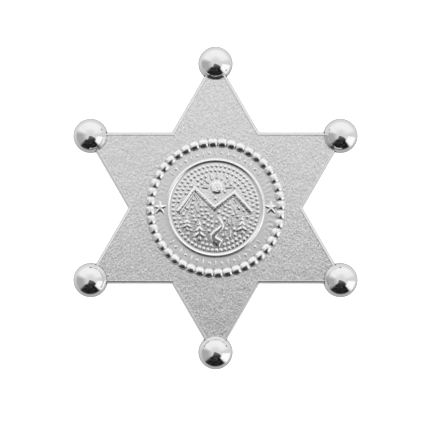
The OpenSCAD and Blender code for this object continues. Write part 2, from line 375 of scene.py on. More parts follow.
def mark(tree, name):
    """A named value of the mesh's points."""
    return add_node(tree, "ShaderNodeAttribute", out=2, attribute_name=name)


def bumps(tree, shader, height, strength, depth):
    """Makes the surface look uneven by height, which is worth depth metres at strength 1."""
    bump = add_node(tree, "ShaderNodeBump",
                    {"Strength": strength, "Distance": depth, "Height": height})
    tree.links.new(bump, shader.inputs["Normal"])


def metal(name):
    """A new finish with its shader, and the place on the piece that its patterns read."""
    finish = bpy.data.materials.new(name)
    finish.use_nodes = True
    tree = finish.node_tree
    shader = tree.nodes["Principled BSDF"]
    shader.inputs["Metallic"].default_value = 1.0
    place = add_node(tree, "ShaderNodeTexCoord", out=3)
    return finish, tree, shader, place


def field_nickel():
    """Satin nickel on a stippled cast face: a fine grain of bumps and of lighter and darker specks.
    The bumps are drawn out along Y, because the light changes most that way and would make round
    ones look drawn out along X. The rim, where stipple is 0, is smooth and even."""
    finish, tree, shader, place = metal("field nickel")
    stipple = mark(tree, "stipple")
    fine = noise(tree, place, 0.38, 3.0, 0.5, 0.66)
    drawn = add_node(tree, "ShaderNodeMapping", {"Vector": place, "Scale": (*GRAIN_STRETCH, 1.0)})
    pits = noise(tree, drawn, 0.38, 3.0, 0.5, 0.66)
    coarse = noise(tree, drawn, 1.3, 2.0, 0.4)
    cloud = noise(tree, place, 9.0, 3.0, 0.3)
    height = calc(tree, "ADD", pits, calc(tree, "MULTIPLY", coarse, 0.35))
    height = calc(tree, "MULTIPLY", height, mix(tree, stipple, 0.05, 1.0))
    bumps(tree, shader, height, 1.0, 0.00009)
    specks = tint(tree, ease(tree, fine, 0.42, 0.58), (0.86, 0.86, 0.865), (1.0, 1.0, 1.0))
    dull = tint(tree, ease(tree, cloud, 0.35, 0.65), (0.98, 0.98, 0.982), (1.0, 1.0, 1.0))
    grainy = blend(tree, 1.0, specks, dull, "MULTIPLY")
    bright = tint(tree, cloud, (0.89, 0.89, 0.893), (0.94, 0.94, 0.942))
    tree.links.new(blend(tree, stipple, bright, grainy), shader.inputs["Base Color"])
    on_rim, on_field = mix(tree, cloud, 0.24, 0.32), mix(tree, fine, 0.19, 0.30)
    tree.links.new(mix(tree, stipple, on_rim, on_field), shader.inputs["Roughness"])
    return finish


def ball_nickel():
    """Mirror-polished nickel with faint haze and hairlines from handling."""
    finish, tree, shader, place = metal("ball nickel")
    haze = noise(tree, place, 2.6, 3.0, 0.5)
    along = add_node(tree, "ShaderNodeMapping",
                     {"Vector": place, "Rotation": (0.4, 0.2, 0.7), "Scale": (1.0, 14.0, 3.0)})
    hair = add_node(tree, "ShaderNodeTexNoise", {"Vector": along, "Scale": 420.0, "Detail": 3.0})
    colour = tint(tree, haze, (0.82, 0.82, 0.825), (0.86, 0.86, 0.865))
    tree.links.new(colour, shader.inputs["Base Color"])
    lines = calc(tree, "MULTIPLY", ease(tree, hair, 0.62, 0.75), 0.05)
    worn = calc(tree, "ADD", mix(tree, haze, 0.03, 0.07), lines)
    tree.links.new(worn, shader.inputs["Roughness"])
    return finish


def bead_nickel():
    """Polished nickel. Between the beads and at their foot, marked by gap, it is duller and has
    painted shade: a darker colour."""
    finish, tree, shader, place = metal("bead nickel")
    gap = mark(tree, "gap")
    haze = noise(tree, place, 0.8, 3.0, 0.4)
    unshaded_tone = tint(tree, haze, (0.88, 0.88, 0.885), (0.96, 0.96, 0.965))
    # painted shade: where gap is high the colour darkens, between the beads and at their foot
    gap_shade_tone = tint(tree, haze, (0.68, 0.68, 0.685), (0.80, 0.80, 0.805))
    tree.links.new(blend(tree, gap, unshaded_tone, gap_shade_tone), shader.inputs["Base Color"])
    tree.links.new(mix(tree, gap, mix(tree, haze, 0.15, 0.24), 0.32), shader.inputs["Roughness"])
    bumps(tree, shader, haze, 0.15, 0.00002)
    return finish


def medallion_nickel():
    """Satin nickel with polished raised work, marked by raised, and painted shade in the creases,
    marked by crease. The plain band, marked by satin, is duller than the dotted ground."""
    finish, tree, shader, place = metal("medallion nickel")
    raised, crease = mark(tree, "raised"), mark(tree, "crease")
    fine = noise(tree, place, 0.40, 3.0, 0.6)
    cloud = noise(tree, place, 5.0, 2.0, 0.3)
    ground = tint(tree, fine, (0.93, 0.93, 0.935), (1.0, 1.0, 1.0))
    rubbed = tint(tree, cloud, (0.965, 0.965, 0.968), (0.995, 0.995, 0.997))
    # painted shade: the colour darkens where crease is high, in creases and at the foot of raised
    # work
    shade = tint(tree, crease, (1.0, 1.0, 1.0), (0.66, 0.66, 0.665))
    colour = blend(tree, 1.0, blend(tree, raised, ground, rubbed), shade, "MULTIPLY")
    tree.links.new(colour, shader.inputs["Base Color"])
    on_ground, on_band = mix(tree, fine, 0.16, 0.24), mix(tree, fine, 0.36, 0.46)
    satin = mix(tree, mark(tree, "satin"), on_ground, on_band)
    rough = mix(tree, raised, satin, mix(tree, cloud, 0.06, 0.13))
    tree.links.new(rough, shader.inputs["Roughness"])
    bumps(tree, shader, calc(tree, "MULTIPLY", fine, mix(tree, raised, 1.0, 0.25)), 0.4, 0.00003)
    return finish


def pin_steel():
    """Plain nickel-plated steel with fine draw marks along the pin and slight tarnish."""
    finish, tree, shader, place = metal("pin steel")
    along = add_node(tree, "ShaderNodeMapping", {"Vector": place, "Scale": (0.06, 1.0, 1.0)})
    drawn = add_node(tree, "ShaderNodeTexNoise", {"Vector": along, "Scale": 9000.0, "Detail": 2.0})
    cloud = noise(tree, place, 3.0, 3.0, 0.4)
    colour = tint(tree, cloud, (0.62, 0.62, 0.64), (0.76, 0.76, 0.77))
    tree.links.new(colour, shader.inputs["Base Color"])
    rough = calc(tree, "ADD", mix(tree, cloud, 0.22, 0.34), calc(tree, "MULTIPLY", drawn, 0.08))
    tree.links.new(rough, shader.inputs["Roughness"])
    bumps(tree, shader, drawn, 0.2, 0.00002)
    return finish


# Star plate

def star_columns():
    """Directions that part every half edge of the star evenly, from notch to tip and back, and how
    far the outline lies along each when its edges are at distance 1: one over the cosine of the
    angle to the edge's normal."""
    along = np.linspace(math.tan(math.pi / 6), math.tan(math.pi / 3), EDGE_STEPS + 1)
    turn = np.degrees(np.arctan(along))
    arm = np.concatenate([30 + turn, 150 - turn[-2:0:-1]])
    reach = 1 / cos(np.concatenate([turn, turn[-2:0:-1]]))
    angles = np.concatenate([arm + 60 * k for k in range(6)])
    return angles, np.tile(reach, 6)


def star_rows():
    """The plate's section from the middle of its back round the rim to the middle of its seat. A
    row is (share, edge distance, circle radius, height, stipple): share is how much the row follows
    the star's outline, and the rest follows the circle."""
    def ring(dist, z, stipple=0):
        """A row that follows the star's outline alone."""
        return 1, dist, 0, z, stipple

    bevel_d, crest_d = EDGE_DIST - BEVEL_W, EDGE_DIST - RIM_CREST_W
    round_d = bevel_d - SHOULDER_R
    back = [ring(d, PLATE_Z) for d in (*BACK_DISTS, EDGE_DIST - SIDE_EDGE)]
    side = [ring(EDGE_DIST, PLATE_Z + SIDE_EDGE), ring(EDGE_DIST, SIDE_Z),
            ring(EDGE_DIST - SIDE_EDGE, SHOULDER_Z - BEVEL_H)]
    corner = [ring(bevel_d - SHOULDER_R * (1 - cos(a)), SHOULDER_Z - SHOULDER_R * (1 - sin(a)))
              for a in range(30, 76, 15)]
    slope = [ring(round_d + (crest_d - round_d) * t, SHOULDER_Z + (CREST_Z - SHOULDER_Z) * t)
             for t in np.linspace(0, 1, 8)[1:]]
    inner = [ring(crest_d - FLANK_W * t, CREST_Z + (FIELD_Z - CREST_Z) * t, 1)
             for t in FLANK_SHARES]
    field = [(1 - t, crest_d - FLANK_W - FIELD_START, SEAT_R + SEAT_EDGE, FIELD_Z, 1)
             for t in np.linspace(0, 1, FIELD_ROWS)]
    seat = [(0, 0, r, z, 0) for r, z in ((SEAT_R, FIELD_Z - SEAT_EDGE), (SEAT_R, SEAT_Z),
                                         (SEAT_R - 0.1, SEAT_Z), (UNDER_R, SEAT_Z), (0, SEAT_Z))]
    return np.array(back + side + corner + slope + inner + field + seat, float)


def star_plate(finish):
    """Star-shaped rings carried inwards: a point's radius is its row's share of the edge distance
    times the outline's reach, plus the rest of the circle's radius. The field's height gets a fine
    grain, drawn out along Y, and a broad unevenness. Both fade out towards the rim and the seat."""
    angles, reach = star_columns()
    share, dist, circle, z, stipple = (c[:, None] for c in star_rows().T)
    radius = share * dist * reach + (1 - share) * circle
    x, y = radius * cos(angles), radius * sin(angles)
    to_rim = EDGE_DIST - RIM_CREST_W - FLANK_W - radius / reach
    fade = stipple * smooth(to_rim, 0, 0.3) * smooth(radius - SEAT_R, 0, 0.4)
    across, along = GRAIN_STRETCH
    fine = GRAIN_H * grain(across * x, along * y, GRAIN_SIZE, seed=11)
    broad = SWELL_H * grain(x, y, SWELL_SIZE, seed=12)
    points = stack(x, y, z + fade * (fine + broad))
    return make_piece("star_face", [(points, False, True, {"stipple": stipple})],
                      "star_plate", finish, crease=50)


# Ball tips

def slot_mouth():
    """Outline of the slot on a ball, with the ball's middle at the origin and the star's point
    along +X: up the side at +Y, over the top, down the side at -Y and back along the bottom."""
    def side(z, way):
        """On a side, x squared plus a third of (tip - x) squared is the ball's radius squared less
        z squared. The smaller of the two solutions counts."""
        a, b, c = 4 / 3, -2 * SLOT_TIP / 3, SLOT_TIP ** 2 / 3 - (BALL_R ** 2 - z ** 2)
        x = (-b - np.sqrt(b ** 2 - 4 * a * c)) / (2 * a)
        return stack(x, way * (SLOT_TIP - x) / math.sqrt(3), z)

    def arc(z, start, end):
        """Along the top or bottom the outline is an arc of the ball's circle at that height."""
        first = side(np.array(z), 1)
        half = np.degrees(np.arctan2(first[1], -first[0]))
        turn = np.linspace(start * half, end * half, SLOT_ARC_STEPS, endpoint=False)
        radius = math.sqrt(BALL_R ** 2 - z ** 2)
        return stack(-radius * cos(turn), radius * sin(turn), z)

    rising = np.linspace(SLOT_LOW, SLOT_HIGH, SLOT_SIDE_STEPS, endpoint=False)
    falling = np.linspace(SLOT_HIGH, SLOT_LOW, SLOT_SIDE_STEPS, endpoint=False)
    return np.vstack([side(rising, 1), arc(SLOT_HIGH, 1, -1),
                      side(falling, -1), arc(SLOT_LOW, -1, 1)])


def ball_tip(number, finish):
    """A ball with the slot for its point of the star. Straight lines run from the slot's far edge
    to its mouth, and from there rings run over the ball: the angle from the slot's axis goes evenly
    from the mouth's to a half turn, at the mouth's own bearing."""
    mouth = slot_mouth()
    deep = stack(SLOT_TIP, 0, mouth[:, 2])
    walls = deep + np.array([0, 0.5, 1])[:, None, None] * (mouth - deep)
    opening = np.arccos(-mouth[:, 0] / BALL_R)
    bearing = np.arctan2(mouth[:, 2], mouth[:, 1])
    polar = opening + (np.pi - opening) * np.linspace(0, 1, BALL_ROWS)[1:, None]
    off_axis = np.sin(polar)
    shell = BALL_R * stack(-np.cos(polar), off_axis * np.cos(bearing), off_axis * np.sin(bearing))
    x, y, z = np.moveaxis(np.concatenate([walls, shell]), -1, 0)
    turn = 90 - (number - 1) * 360 / BALLS
    out = x + BALL_CENTRE_R
    px, py = out * cos(turn) - y * sin(turn), out * sin(turn) + y * cos(turn)
    points = stack(px, py, z + BALL_Z)
    return make_piece(f"ball_{number}", [(points, False, True, {})],
                      f"ball_tip_{number}", finish)


# Bead ring

def bead_ring(finish):
    """A section carried round the ring. Over the foot it is the farther of two outlines, seen from
    the middle of the foot at the beads' flat underside: the bead, where the powers of the shares of
    its half width and its height add up to 1, and the foot's low rectangle. Along the ring a bead's
    size goes down as a barrel's does. The gap's finish sets in near its ends and at its foot."""
    part = 360 / BEADS
    offset = np.tile(part * (np.arange(BEAD_STEPS) / BEAD_STEPS - 0.5), BEADS)
    angles = BEAD_TURN + np.repeat(part * np.arange(BEADS), BEAD_STEPS) + offset
    off_middle = BEAD_RING_R * sin(offset)
    turn = np.linspace(0, 180, BEAD_ROWS)[:, None]
    size = BEAD_R * (1 - np.abs(off_middle / BEAD_HALF_LEN) ** BARREL) ** (1 / BARREL)
    under = BEAD_FLAT_Z - BEAD_Z
    half_w = np.sqrt(np.maximum(size ** 2 - under ** 2, 1e-6))
    tall = np.maximum(size - under, 1e-3)
    sideways, upwards = np.maximum(np.abs(cos(turn)), 1e-9), np.maximum(sin(turn), 1e-9)
    power = BEAD_CROWN
    bead = ((sideways / half_w) ** power + (upwards / tall) ** power) ** (-1 / power)
    foot = np.minimum(FOOT_HALF_W / sideways, (FOOT_TOP_Z - BEAD_FLAT_Z) / upwards)
    reach = np.maximum(bead, foot)
    low = np.array([[-FOOT_HALF_W, BEAD_FLAT_Z], [-FOOT_HALF_W, DISC_Z],
                    [FOOT_HALF_W, DISC_Z], [FOOT_HALF_W, BEAD_FLAT_Z]])
    low = np.repeat(low[:, :, None], len(angles), axis=2)
    across = np.vstack([reach * cos(turn), low[:, 0]])
    up = np.vstack([BEAD_FLAT_Z + reach * sin(turn), low[:, 1]])
    radius = BEAD_RING_R + across
    # gap: where the duller finish with painted shade sets in, between the beads and at their foot
    gap = np.maximum(smooth(np.abs(off_middle), *GAP_ALONG), 1 - smooth(up, *GAP_UP))
    points = stack(radius * cos(angles), radius * sin(angles), up)
    return make_piece("bead_circle", [(points, True, True, {"gap": gap})],
                      "bead_ring", finish, crease=60)


# Medallion

def band_outline(path, widths):
    """Closed outline of a band along a path. Each point moves to both sides along the middle of its
    two stretches' left-hand normals, by half the width over the cosine of half the bend."""
    path, widths = np.array(path, float), np.broadcast_to(widths, len(path))
    ahead = np.diff(path, axis=0)
    left = np.stack([-ahead[:, 1], ahead[:, 0]], axis=1) / np.linalg.norm(ahead, axis=1)[:, None]
    before, after = np.vstack([left[:1], left]), np.vstack([left, left[-1:]])
    middle = (before + after) / np.linalg.norm(before + after, axis=1)[:, None]
    step = middle * (widths / 2 / (middle * before).sum(axis=1))[:, None]
    return np.vstack([path + step, (path - step)[::-1]])


def pine_outline(x, foot, height, half_w):
    """A pine: a trunk, and tiers that narrow as they rise, each wider at its foot than the top of
    the one below."""
    trunk = half_w * PINE_NOTCH / 2
    crown_y, crown_h = foot + height * PINE_TRUNK, height * (1 - PINE_TRUNK)
    side = []
    for tier in range(PINE_TIERS):
        side.append((half_w * (1 - tier / PINE_TIERS), crown_y + crown_h * tier / PINE_TIERS))
        if tier < PINE_TIERS - 1:
            side.append((half_w * (1 - (tier + 1) / PINE_TIERS) * PINE_NOTCH,
                         crown_y + crown_h * (tier + PINE_SLOPE) / PINE_TIERS))
    right = [(x + w, y) for w, y in side]
    left = [(x - w, y) for w, y in reversed(side)]
    return np.array([(x - trunk, foot), (x + trunk, foot), (x + trunk, crown_y), *right,
                     (x, foot + height), *left, (x - trunk, crown_y)])


def picture_outlines():
    """All closed outlines of the raised picture: ridges, creases, river, sun rays, pines and
    grass."""
    line, ridge = LINE_W / GROUND_R, RIDGE_W / GROUND_R
    fall = np.arange(RIVER_STEPS + 1) / RIVER_STEPS
    swing, turn, width = (start + more * fall for start, more in (RIVER_SWING, RIVER_TURN, RIVER_W))
    river = np.stack([RIVER_TOP[0] + swing * sin(turn), RIVER_TOP[1] - RIVER_FALL * fall], axis=1)
    outlines = [band_outline(MOUNTAIN_LINE, ridge), band_outline(LEFT_CREASE, line),
                band_outline(RIGHT_CREASE, line), band_outline(river, width)]
    for angle in RAY_ANGLES:
        out = np.array([cos(angle), sin(angle)])
        side = np.array([-out[1], out[0]]) * RAY_HALF_W
        root = SUN_PLACE + out * RAY_FROM
        outlines.append(np.array([root - side, SUN_PLACE + out * RAY_TO, root + side]))
    outlines += [pine_outline(*pine) for pine in PINES]
    outlines += [band_outline(blade, line) for blade in GRASS]
    return [outline * GROUND_R for outline in outlines]


def depth_inside(outline, x, y):
    """Distance of each place from a closed outline, more than 0 inside: the least distance to its
    sides, with the sign from how many sides a line to the right crosses."""
    start, end = outline, np.roll(outline, -1, axis=0)
    side = end - start
    px, py = x[..., None] - start[:, 0], y[..., None] - start[:, 1]
    share = np.clip((px * side[:, 0] + py * side[:, 1]) / (side ** 2).sum(axis=1), 0, 1)
    near = np.hypot(px - share * side[:, 0], py - share * side[:, 1]).min(axis=-1)
    rise = np.where(side[:, 1] == 0, 1, side[:, 1])
    spans = (start[:, 1] > y[..., None]) != (end[:, 1] > y[..., None])
    passes = spans & (px < side[:, 0] * py / rise)
    return np.where(passes.sum(axis=-1) % 2 == 1, near, -near)


def dot_places(outlines):
    """Dots in rings round the middle, every other ring half a step on, where the picture leaves
    room."""
    places = []
    for ring in range(int((GROUND_R - DOT_EDGE) / DOT_RING_STEP) + 1):
        r = GROUND_R - DOT_EDGE - ring * DOT_RING_STEP
        count = max(1, round(2 * math.pi * r / DOT_STEP))
        turn = 360 * (np.arange(count) + ring % 2 / 2) / count
        places.append(np.stack([r * cos(turn), r * sin(turn)], axis=1))
    places = np.vstack(places)
    x, y = places.T
    free = np.hypot(*(places - SUN_PLACE * GROUND_R).T) > SUN_SHARE * GROUND_R + DOT_ROOM
    for outline in outlines:
        free &= depth_inside(outline, x, y) <= -DOT_ROOM
    return places[free]


def cap_height(distance, half_w, height):
    """Height of a round cap above its foot, as a share of a ball through its top and its edge."""
    radius = (half_w ** 2 + height ** 2) / (2 * height)
    return np.sqrt(np.maximum(radius ** 2 - distance ** 2, 0)) - (radius - height)


def raised_edge(depth, side_w):
    """A quarter of an ellipse that rises to the picture's height over side_w of depth."""
    share = np.clip(depth / side_w, 0, 1)
    return RELIEF_H * np.sqrt(1 - (1 - share) ** 2)


def relief(x, y):
    """Height of the dotted ground and its picture, how far a place is raised, and how close it lies
    to the foot of a raised edge or a dot, which sets the painted shade there. The picture's edges
    rise over the depth inside its outlines and the sun's circle, the dots are round caps, and the
    highest of them all counts."""
    outlines = picture_outlines()
    height, foot = np.zeros_like(x), np.zeros_like(x)
    for outline in outlines:
        depth = depth_inside(outline, x, y)
        height = np.maximum(height, raised_edge(depth + RELIEF_OUT, RELIEF_SIDE_W))
        # foot: painted shade at the foot of the picture's raised edges
        foot = np.maximum(foot, np.exp(-np.maximum(-depth - 0.02, 0) / 0.07) * (depth < 0.06))
    sun = np.hypot(x - SUN_PLACE[0] * GROUND_R, y - SUN_PLACE[1] * GROUND_R)
    height = np.maximum(height, raised_edge(SUN_SHARE * GROUND_R - sun, SUN_SIDE_W))
    raised = smooth(height, 0.1, 0.3)
    for px, py in dot_places(outlines):
        away = np.hypot(x - px, y - py)
        height = np.maximum(height, cap_height(away, DOT_D / 2, DOT_H))
        # painted shade in a ring round each dot's foot
        foot = np.maximum(foot, 0.45 * np.exp(-((away - DOT_D / 2 - 0.03) / 0.08) ** 2))
        raised = np.maximum(raised, smooth(-away, -0.36, -0.27))
    return height, raised, foot


def disc_grid():
    """A square grid drawn onto a disc of radius 1: squares round the middle become circles, and
    places along a square's side keep their order as angles."""
    line = np.linspace(-1, 1, GROUND_CELLS + 1)
    u, v = np.meshgrid(line, line)
    flat = np.abs(u) >= np.abs(v)
    radius = np.where(flat, u, v)
    ratio = np.divide(np.where(flat, v, u), radius, out=np.zeros_like(radius), where=radius != 0)
    angle = np.where(flat, 45 * ratio, 90 - 45 * ratio)
    return radius * cos(angle), radius * sin(angle)


def dotted_ground():
    """The dotted ground: a height over a disc, with the relief, a fine grain and a low crown."""
    x, y = (GROUND_R * c for c in disc_grid())
    height, raised, foot = relief(x, y)
    inset = GROUND_R - np.hypot(x, y)
    uneven = GROUND_GRAIN_H * smooth(inset, 0, 0.3) * grain(x, y, GROUND_GRAIN_SIZE, seed=21)
    height = height * smooth(inset, 0.0, 0.06) + uneven
    height += CROWN_H * (1 - (x ** 2 + y ** 2) / GROUND_R ** 2)
    # painted shade along the ground's edge, at the foot of the round rim
    foot = np.maximum(foot, 0.3 * np.exp(-inset / 0.12))
    marks = {"raised": raised, "crease": foot, "satin": 0.0}
    return stack(x, y, FIELD_Z + height), False, False, marks


def rim_and_band():
    """A section turned round the middle: over the round rim, the fourth power of a half wave of a
    sine, along the plain band with its grain, down the edge and back under to the middle."""
    over, band_start = np.linspace(0, 1, 25), GROUND_R + ROUND_RIM_W
    rim_r, rim_z = GROUND_R + ROUND_RIM_W * over, ROUND_RIM_H * sin(180 * over) ** 4
    band_r = np.linspace(band_start, DISC_R - DISC_EDGE, 9)[1:]
    low = DISC_Z - FIELD_Z
    radius = np.concatenate([rim_r, band_r, [DISC_R, DISC_R, UNDER_R, 0]])[:, None]
    lift = np.concatenate([rim_z, 0 * band_r, [-DISC_EDGE, low, low, low]])[:, None]
    raised = np.concatenate([0.6 * smooth(rim_z, 0.01, 0.12), 0 * band_r + 0.12, 4 * [0.0]])
    # crease: painted shade at the round rim's feet, on the band next to the rim and on the disc's
    # edge and underside
    crease = np.concatenate([0.2 * (1 - smooth(rim_z, 0.0, 0.1)),
                             0.3 * np.exp(-(band_r - band_start) / 0.15), 4 * [0.4]])
    angles = 90 * np.arange(4 * GROUND_CELLS) / GROUND_CELLS
    x, y = radius * cos(angles), radius * sin(angles)
    on_band = smooth(radius, *BAND_GRAIN_FROM) * (1 - smooth(radius, *BAND_GRAIN_TO))
    lift = lift + BAND_GRAIN_H * on_band * grain(x, y, BAND_GRAIN_SIZE, seed=22)
    marks = {"raised": raised[:, None], "crease": crease[:, None], "satin": 1.0}
    return stack(x, y, FIELD_Z + lift), False, True, marks


def medallion_disc(finish):
    """The dotted ground, and round it the rim, the band and the underside, welded where they
    meet."""
    return make_piece("medallion_face", [dotted_ground(), rim_and_band()],
                      "medallion", finish, crease=75)


def band_stars(finish):
    """Two five-pointed stars with blunt arms. The outline runs at an even distance round a sharp
    star, found along each direction by halving. Inside it the side rises evenly, and then its slope
    eases off to a level top as an S-shaped curve does. Under a bead they stay low."""
    turn = 90 + 360 / SMALL_STAR_TURNS * np.arange(SMALL_STAR_TURNS)
    corner = SMALL_STAR_R * np.where(np.arange(10) % 2 == 0, 1, sin(18) / sin(54))
    corner_turn = 90 + 36 * np.arange(10)
    sharp = np.stack([corner * cos(corner_turn), corner * sin(corner_turn)], axis=1)
    near, far = np.full(SMALL_STAR_TURNS, 0.2), np.full(SMALL_STAR_TURNS, 2.0)
    for _ in range(SMALL_STAR_HALVINGS):
        middle = (near + far) / 2
        inside = depth_inside(sharp, middle * cos(turn), middle * sin(turn)) > -SMALL_STAR_BLUNT
        near, far = np.where(inside, middle, near), np.where(inside, far, middle)
    share = np.array([*np.linspace(0, 1, 25), 1.0, 0])[:, None]
    x, y = share * near * cos(turn), share * near * sin(turn)
    depth = depth_inside(sharp, x, y) + SMALL_STAR_BLUNT
    bend = np.clip((depth - SMALL_STAR_SIDE_W) / SMALL_STAR_ROUND_W, 0, 1)
    height = SMALL_STAR_SLOPE * (np.clip(depth, 0, SMALL_STAR_SIDE_W)
                                 + SMALL_STAR_ROUND_W * (bend - bend ** 3 + bend ** 4 / 2))
    height[-2:] = SMALL_STAR_ROOT_Z
    # crease: painted shade round each star's foot
    marks = {"raised": smooth(depth, -0.05, 0.03), "crease": 0.15 * smooth(-depth, -0.06, 0.0)}
    beads = BEAD_TURN + 360 / BEADS * np.arange(BEADS)
    bead_x, bead_y = BEAD_RING_R * cos(beads), BEAD_RING_R * sin(beads)
    grids = []
    for middle_x in (-BAND_R, BAND_R):
        px = middle_x + x
        away = np.hypot(px[..., None] - bead_x, y[..., None] - bead_y).min(axis=-1)
        low = np.minimum(height, BEAD_FLAT_Z - FIELD_Z - 0.02)
        z = np.where(away < BEAD_R + 0.03, low, height)
        grids.append((stack(px, y, FIELD_Z + z), False, True, marks))
    return make_piece("band_stars", grids, "medallion", finish, crease=35)


def band_bars(finish):
    """Low bars and studs on the band, each a long dome: its height is the square root of one less
    the squared share of its half width, eased down at its ends. The bars point outwards, and a stud
    stands between each two of them."""
    share = np.linspace(-1, 1, 13)[:, None]
    turn = np.linspace(0, 180, 9)
    end = np.sqrt(np.maximum(1 - np.abs(share) ** 4, 0))
    across, up = cos(turn) * end / 2, sin(turn) * end * (BAR_H + BAR_SUNK) - BAR_SUNK
    across = np.hstack([across, 0.9 * across[:, ::-1]])
    up = np.hstack([up, np.full_like(up, BAR_ROOT_Z)])
    # crease: painted shade where each bar and stud meets the band
    marks = {"raised": 0.7 * smooth(up, 0.0, 0.08), "crease": 0.4 * smooth(-up, -0.04, 0.02)}
    forms = [(angle, BAR_LEN, BAR_W) for angle in BAR_ANGLES]
    forms += [((a + b) / 2, STUD_D, STUD_D) for a, b in zip(BAR_ANGLES, BAR_ANGLES[1:])]
    grids = []
    for middle in (90, 270):
        for angle, length, width in forms:
            a = middle + angle
            r = BAND_R + share * length / 2
            x, y = r * cos(a) - width * across * sin(a), r * sin(a) + width * across * cos(a)
            grids.append((stack(x, y, FIELD_Z + up), False, True, marks))
    return make_piece("band_bars", grids, "medallion", finish, crease=70)


# Pin at the back

def turned(along, radius):
    """A profile turned round an axis: radius at each place along it, as (along, sideways, up)."""
    turn = 360 * np.arange(TURNED_SIDES) / TURNED_SIDES
    along, radius = np.array(along, float)[:, None], np.array(radius, float)[:, None]
    return along + 0 * turn, radius * cos(turn), radius * sin(turn)


def round_edges(edge):
    """Steps of a quarter round at a block's foot and of another at its top: how far its outline is
    drawn in at each, and the steps' heights from the foot and from the top."""
    bend = np.linspace(0, 90, 5)
    inset = np.concatenate([edge * (1 - cos(bend[::-1])), edge * (1 - cos(bend))])
    return inset, edge * (1 - sin(bend[::-1])), -edge * (1 - sin(bend))


def post(x, y, low_z, high_z, half_x, half_y, edge):
    """A post with rounded upright corners and edges: a superellipse of power 6 carried over a
    section that bends in by edge at its foot and top."""
    turn = 360 * (np.arange(48) + 0.5) / 48
    size = (np.abs(cos(turn)) ** 6 + np.abs(sin(turn)) ** 6) ** (-1 / 6)
    inset, foot, top = round_edges(edge)
    z = np.concatenate([[low_z], low_z + foot, high_z + top, [high_z]])[:, None]
    across, along = (np.vstack([0 * turn, size * way(turn) * (half - inset[:, None]), 0 * turn])
                     for way, half in ((cos, half_x), (sin, half_y)))
    return stack(x + across, y + along, z), False, True, {}


def pin_bar(finish):
    """The flat bar with cut-off corners and rounded edges: its outline shrinks towards the middle
    over the section that bends in at its foot and top."""
    corner, steps = PIN_BAR_HALF_W / 2, PIN_BAR_SIDE_STEPS
    x, y = PIN_BAR_HALF_LEN, PIN_BAR_HALF_W
    ends = np.array([[x, corner - y], [x, y - corner], [x - corner, y], [corner - x, y],
                     [-x, y - corner], [-x, corner - y], [corner - x, -y], [x - corner, -y]])
    share = np.tile(np.arange(steps) / steps, len(ends))[:, None]
    start, end = (np.repeat(e, steps, axis=0) for e in (ends, np.roll(ends, -1, axis=0)))
    outline = start * (1 - share) + end * share
    inset, foot, top = round_edges(PIN_BAR_EDGE)
    grow = np.stack([1 - inset / x, 1 - inset / y], axis=1)
    grow = np.vstack([[0, 0], grow[:1] * 0.5, grow, grow[-1:] * 0.5, [0, 0]])
    lift = np.concatenate([foot, PIN_BAR_T + top])
    z = PIN_BAR_Z + np.concatenate([lift[:1], lift[:1], lift, lift[-1:], lift[-1:]])[:, None]
    points = stack(grow[:, :1] * outline[:, 0], PIN_Y + grow[:, 1:] * outline[:, 1], z)
    return make_piece("pin_bar", [(points, False, True, {})], "pin_back", finish)


def pin_joint(finish):
    """The knuckle: two rolled ears with the wire's loop between them, one profile turned round the
    hinge line, on a short post."""
    ear, loop, end = KNUCKLE_R, LOOP_R, KNUCKLE_HALF_LEN
    half = [(end, 0), (end, ear - 0.15), (end - 0.05, ear - 0.05), (end - 0.15, ear), (0.66, ear),
            (0.6, ear - 0.06), (0.6, GROOVE_R), (0.54, GROOVE_R), (0.54, loop - 0.06), (0.48, loop)]
    along, radius = np.array(half).T
    y, x, z = turned(np.concatenate([-along, along[::-1]]), np.concatenate([radius, radius[::-1]]))
    barrel = (stack(KNUCKLE_X + x, PIN_Y + y, WIRE_Z + z), False, True, {})
    foot = post(KNUCKLE_X, PIN_Y, WIRE_Z, POST_TOP_Z, 0.72, 1.28, 0.08)
    return make_piece("pin_joint", [barrel, foot], "pin_back", finish)


def pin_wire(finish):
    """The straight wire: a profile turned round its own line, with a long even point."""
    shaft = CATCH_X - KNUCKLE_X - WIRE_POINT + CATCH_LEN / 4
    share = np.linspace(0, 1, 9)
    along = [0, 0, 2, 6, 10, 14, 18, *(shaft + WIRE_POINT * share), shaft + WIRE_POINT]
    point = WIRE_R * (1 - WIRE_POINT_SHARE * share ** WIRE_POINT_POWER)
    x, y, z = turned(along, [0, *([WIRE_R] * 6), *point, 0])
    points = stack(KNUCKLE_X + x, PIN_Y + y, WIRE_Z + z)
    return make_piece("pin_wire", [(points, False, True, {})], "pin_back", finish)


